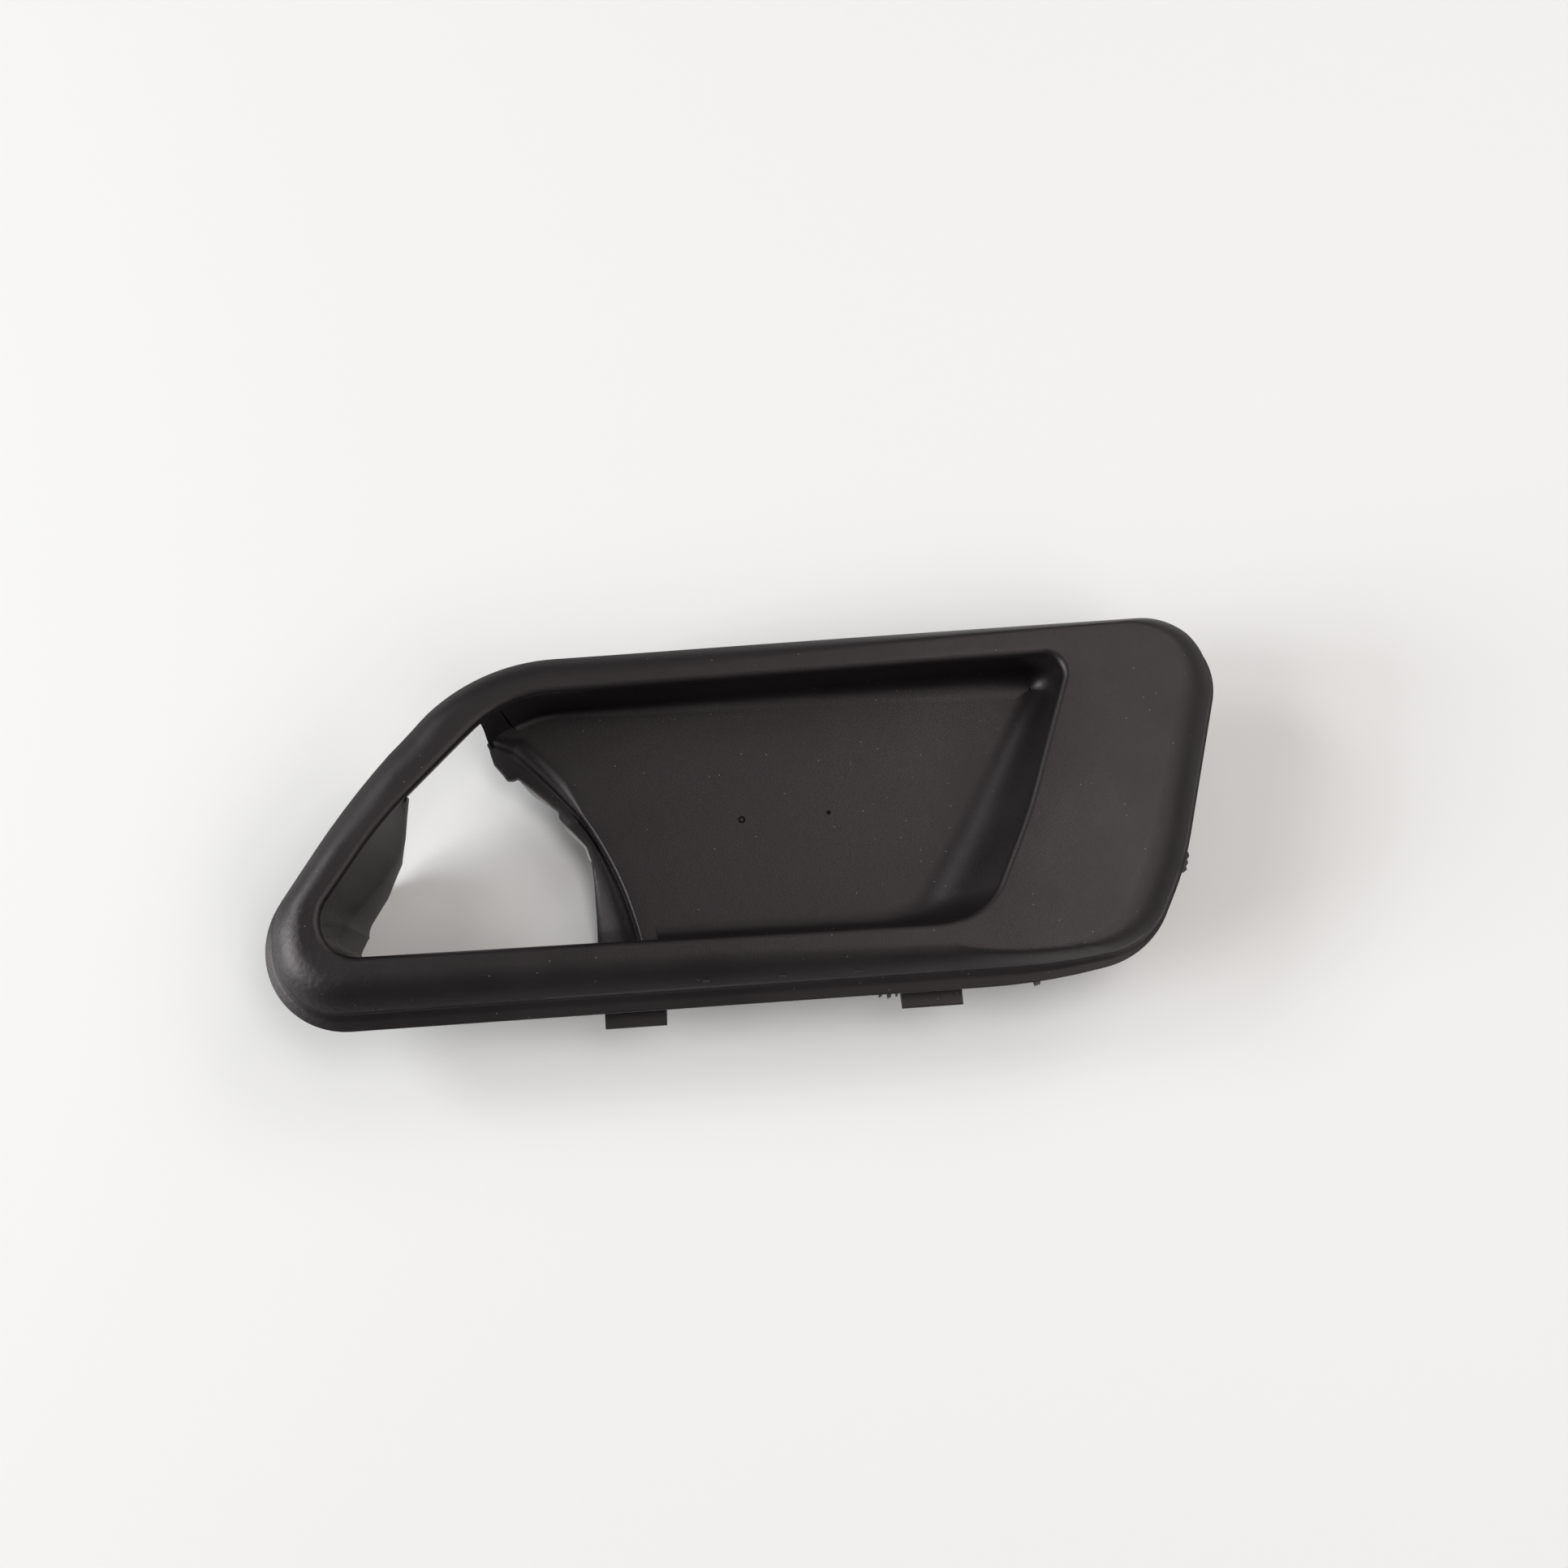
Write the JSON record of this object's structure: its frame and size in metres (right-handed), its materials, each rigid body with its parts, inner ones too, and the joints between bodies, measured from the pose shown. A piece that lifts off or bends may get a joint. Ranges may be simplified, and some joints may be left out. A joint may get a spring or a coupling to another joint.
{
  "type": "door handle trim cover",
  "caption": "Black moulded trim cover for an inside car door handle, with a recessed finger well, a lever opening and rear clips.",
  "frame": {"origin": "centre of the bounding box in plan, at the foot of the collar and the screw bosses", "axes": "+X along the long edges from the narrow tip to the wide end, +Y across the cover to its top edge, +Z out of the face"},
  "size_m": [0.1568, 0.0612, 0.0215],
  "materials": {
    "cover_plastic": "fine-grained satin black"
  },
  "bodies": {
    "root": {"trim_cover": "cover_plastic"}
  },
  "joints": []
}
